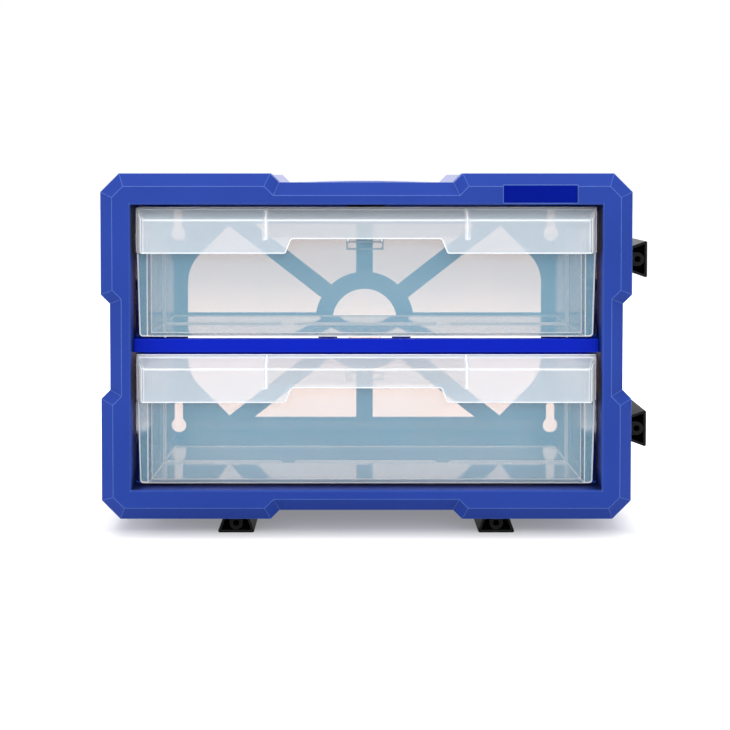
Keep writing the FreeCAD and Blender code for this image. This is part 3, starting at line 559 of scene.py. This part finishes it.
class Rule(Tree):
    """A Geometry Nodes tree with named sizes."""

    prefix = "GeometryNode"

    def __init__(self, name, sizes):
        self.tree = bpy.data.node_groups.new(name, "GeometryNodeTree")
        sockets = self.tree.interface
        sockets.new_socket("Geometry", in_out="INPUT", socket_type="NodeSocketGeometry")
        for label in sizes:
            sockets.new_socket(label, in_out="INPUT", socket_type="NodeSocketFloat")
        sockets.new_socket("Geometry", in_out="OUTPUT", socket_type="NodeSocketGeometry")
        self.sizes = sizes
        self.given = self.tree.nodes.new("NodeGroupInput")

    def size(self, label):
        """One of the tree's inputs, by its name."""
        return Wire(self, self.given.outputs[label])

    def vector(self, x, y, z):
        """A vector from three numbers or wires."""
        node = self.tree.nodes.new("ShaderNodeCombineXYZ")
        for slot, value in zip(node.inputs, (x, y, z)):
            self.feed(slot, value)
        return Wire(self, node.outputs[0])

    def apply(self, piece):
        """Sets the rule on a piece as a modifier, each size by its socket's identifier."""
        modifier = piece.modifiers.new("rule", "NODES")
        modifier.node_group = self.tree
        for socket in self.tree.interface.items_tree:
            if socket.in_out == "INPUT" and socket.name in self.sizes:
                modifier[socket.identifier] = self.sizes[socket.name]


screw_rule = Rule(
    "screw_rule",
    {
        "Head Radius": 0.0033,
        "Head Height": 0.0020,
        "Shank Radius": 0.0013,
        "Length": 0.0140,
        "Recess Length": 0.0034,
        "Recess Width": 0.0008,
        "Recess Depth": 0.0014,
    },
)
size = screw_rule.size
head = screw_rule.add(
    "MeshCone",
    values={
        "Vertices": 32,
        "Radius Top": size("Head Radius"),
        "Radius Bottom": size("Shank Radius"),
        "Depth": size("Head Height"),
    },
)
down = screw_rule.vector(0.0, 0.0, size("Head Height") * -1.0)
head = screw_rule.add("Transform", values={"Geometry": head, "Translation": down})
cut_out = {"operation": "DIFFERENCE", "solver": "EXACT"}
length, width, tall = size("Recess Length"), size("Recess Width"), size("Recess Depth") * 2.0
for sides in ((length, width), (width, length)):
    bar = screw_rule.add("MeshCube", values={"Size": screw_rule.vector(*sides, tall)})
    head = screw_rule.add("MeshBoolean", cut_out, {0: head, 1: bar})
shank = screw_rule.add(
    "MeshCylinder",
    values={
        "Vertices": 20,
        "Radius": size("Shank Radius"),
        "Depth": size("Length") - size("Head Height"),
    },
)
sunk = screw_rule.vector(0.0, 0.0, (size("Length") + size("Head Height")) * -0.5)
shank = screw_rule.add("Transform", values={"Geometry": shank, "Translation": sunk})
screw = screw_rule.add("JoinGeometry", values={"Geometry": (head, shank)})
points = screw_rule.add("MeshToPoints", values={"Mesh": size("Geometry")})
placed = screw_rule.add(
    "InstanceOnPoints",
    values={"Points": points, "Instance": screw, "Rotation": (math.radians(-90.0), 0.0, 0.0)},
)
solid = screw_rule.add("RealizeInstances", values={"Geometry": placed})
finished = screw_rule.add("SetMaterial", values={"Geometry": solid, "Material": steel})
screw_rule.add("NodeGroupOutput", values={"Geometry": finished})

# %% The eight screws

cloud_mesh = bpy.data.meshes.new("back_screws")
cloud_mesh.from_pydata([tuple(middle) for middle in middles], [], [])
back_screws = bpy.data.objects.new("back_screws", cloud_mesh)
screw_rule.apply(back_screws)
plain_mesh(back_screws)
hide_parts("back_panel_screws")
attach(back_screws, "cabinet")
print(f"back_screws: {len(back_screws.data.polygons)} faces")

# %% [markdown]
# ## White floor and backdrop
#
# The cabinet stands on a white table with no visible horizon. A floor that is only lit white would
# need lamps that bleach the object. Instead the floor glows a little for the camera and for
# reflections, and the rest of its white comes from the lamps, so that the shadow under the cabinet
# stays. Right below the cabinet it glows less, a painted shadow that keeps the shadow there as deep
# as in the picture.

# %% White table

table_finish = Finish("white_table")
seeing_rays = ("Is Camera Ray", "Is Glossy Ray", "Is Transmission Ray")
half_width, half_depth, fade = 0.155, 0.050, 34.0
table_grey, painted_shadow_grey = (0.62, 0.62, 0.62, 1.0), (0.24, 0.24, 0.24, 1.0)
unlit = (0.0, 0.0, 0.0, 1.0)
seen = sum((table_finish.add("LightPath", output=ray) for ray in seeing_rays), 0.0).clipped()
across, along = (
    table_finish.add("SeparateXYZ", values={"Vector": table_finish.spot()}, output=axis)
    for axis in "XY"
)
# A painted shadow: the glow is darker inside a rectangle round the cabinet's foot.
aside = abs(across) - half_width
before = abs(along) - half_depth
away = (aside.math("MAXIMUM", aside, before) * fade).clipped()
table = table_finish.add("BsdfDiffuse", values={"Color": table_grey})
tone = table_finish.blend(away, painted_shadow_grey, table_grey)
glow = table_finish.add("Emission", values={"Color": tone, "Strength": 1.0})
dark = table_finish.add("Emission", values={"Color": unlit, "Strength": 0.0})
shown = table_finish.add("MixShader", values={0: seen, 1: dark, 2: glow})
table_white = table_finish.surface(table_finish.add("AddShader", values={0: table, 1: shown}))

table_mesh = bpy.data.meshes.new("table_top")
shape = bmesh.new()
bmesh.ops.create_grid(shape, x_segments=2, y_segments=2, size=8.0)
shape.to_mesh(table_mesh)
shape.free()
table_top = bpy.data.objects.new("table_top", table_mesh)
table_mesh.materials.append(table_white)
scene.collection.objects.link(table_top)
table_top.location = (middle_x, 0.0, low.z)
print("table in place")

# %% [markdown]
# The world looks different to different rays. The camera, also through a clear part, sees it plain
# white. A reflection sees it white too, but dark on the camera's side, as behind a real
# photographer, so that a face turned to the camera keeps its deep colour. Everything else gets an
# even, slightly weaker light.

# %% Studio world

studio = Finish("studio", "worlds")
direction = studio.add("TexCoord", output="Generated")
way = studio.add("SeparateXYZ", values={"Vector": direction}, output="Y")
looking = studio.add("LightPath", output="Is Camera Ray")
passing = studio.add("LightPath", output="Is Transmission Ray")
clear_view = (looking + passing).clipped()
open_side = ((way + 1.0) * 1.1).clipped(0.15, 1.0)
mirror_grey = studio.blend(open_side, unlit, white)
backdrop = studio.add("Background", values={"Color": white, "Strength": 1.0})
mirrored = studio.add("Background", values={"Color": mirror_grey, "Strength": 1.0})
ambient = studio.add("Background", values={"Color": white, "Strength": 0.82})
glossy = studio.add("LightPath", output="Is Glossy Ray")
soft = studio.add("MixShader", values={0: glossy, 1: ambient, 2: mirrored})
lit = studio.add("MixShader", values={0: clear_view, 1: soft, 2: backdrop})
scene.world = studio.surface(lit, "OutputWorld")
print("studio world made")

# %% [markdown]
# ## Lights
#
# Five wide soft boxes light the cabinet. One hangs over it for the bright top slopes, and one on each
# side gives the side slopes their paler blue. A large one high in front lights the frame and the
# veil of the drawers: lower down, the plates would mirror it. One behind sends light through the
# open back onto the drawers' floors.

# %% Soft boxes


def soft_box(name, place, aim, width, height, power):
    """A flat lamp that the camera doesn't see, in metres and watts."""
    lamp = bpy.data.lights.new(name, "AREA")
    lamp.shape = "RECTANGLE"
    lamp.size = width
    lamp.size_y = height
    lamp.energy = power
    holder = bpy.data.objects.new(name, lamp)
    holder.location = place
    holder.rotation_euler = (Vector(aim) - Vector(place)).to_track_quat("-Z", "Y").to_euler()
    holder.visible_camera = False
    scene.collection.objects.link(holder)


centre = (middle_x, 0.0, middle_z)
soft_box("box_above", (0.0, -0.15, 1.3), centre, 1.4, 1.0, 6.0)
soft_box("box_left", (-1.2, -0.6, 0.6), centre, 0.8, 1.0, 3.0)
soft_box("box_right", (1.2, -0.6, 0.6), centre, 0.8, 1.0, 2.0)
soft_box("box_front", (0.0, -2.2, 0.95), centre, 1.4, 0.9, 22.0)
soft_box("box_behind", (0.0, 1.0, 1.1), (0.0, 0.0, 0.12), 1.2, 0.8, 22.0)
print("five soft boxes in place")

# %% [markdown]
# ## Camera
#
# The picture was taken from straight in front at the height of the cabinet's top, close enough for
# the far end to shrink. Most of the downward look is a lens shift, which keeps upright edges
# upright, and the rest is a slight tilt. So many clear layers lie behind each other that a ray may
# pass 32 of them before it is stopped.

# %% Camera

focal_pixels, picture_pixels, tilt = 1404.9, 730.0, 1.769
eye = bpy.data.cameras.new("camera")
eye.sensor_width = 36.0
eye.lens = focal_pixels / picture_pixels * eye.sensor_width
eye.shift_x = 0.0152
eye.shift_y = -0.2
watcher = bpy.data.objects.new("camera", eye)
watcher.location = (middle_x - 0.00754, front_y - 0.8383, middle_z + 0.10312)
watcher.rotation_euler = (math.radians(90.0 - tilt), 0.0, 0.0)
scene.collection.objects.link(watcher)
scene.camera = watcher
scene.view_settings.view_transform = "Standard"
scene.cycles.transparent_max_bounces = 32
print(f"camera at {[round(v, 3) for v in watcher.location]}, lens {eye.lens:.1f} mm")
